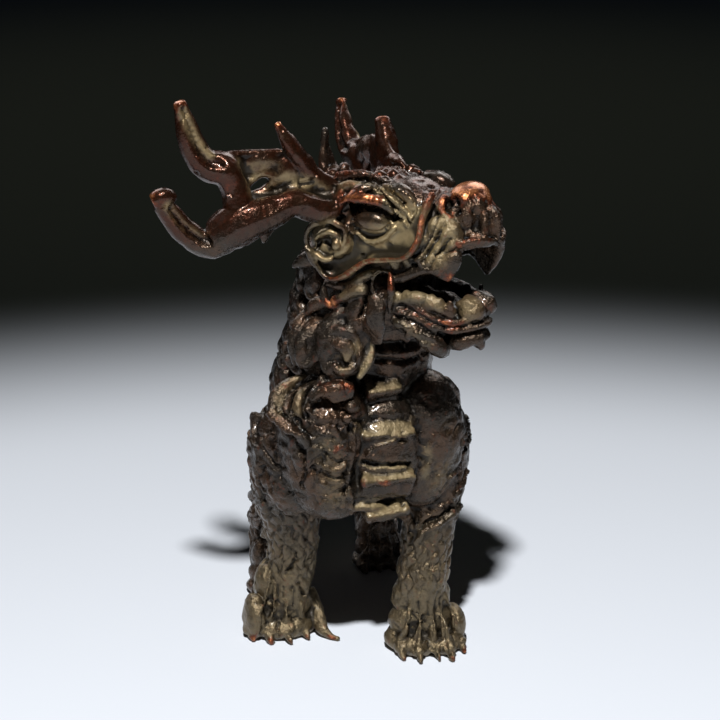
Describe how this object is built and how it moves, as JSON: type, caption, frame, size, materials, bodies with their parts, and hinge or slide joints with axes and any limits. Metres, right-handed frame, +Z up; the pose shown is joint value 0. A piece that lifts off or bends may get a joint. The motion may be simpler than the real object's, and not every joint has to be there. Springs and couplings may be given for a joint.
{
  "type": "horned beast ornament",
  "caption": "Small cast brass beast standing on clawed feet, with forked antlers, an open mouth, a curly mane and scaled legs.",
  "frame": {"origin": "middle of the figure's length and width, on the ground that its soles stand on", "axes": "+Z up; -Y the way the chest faces, +X to the beast's left; the head looks between -Y and +X"},
  "size_m": [0.0592, 0.0682, 0.1032],
  "materials": {
    "patinated_brass": "dark brown patina over cast brass, worn bright on the raised edges, olive grime in the hollows"
  },
  "bodies": {
    "root": {"taotie_beast": "patinated_brass"}
  },
  "joints": []
}
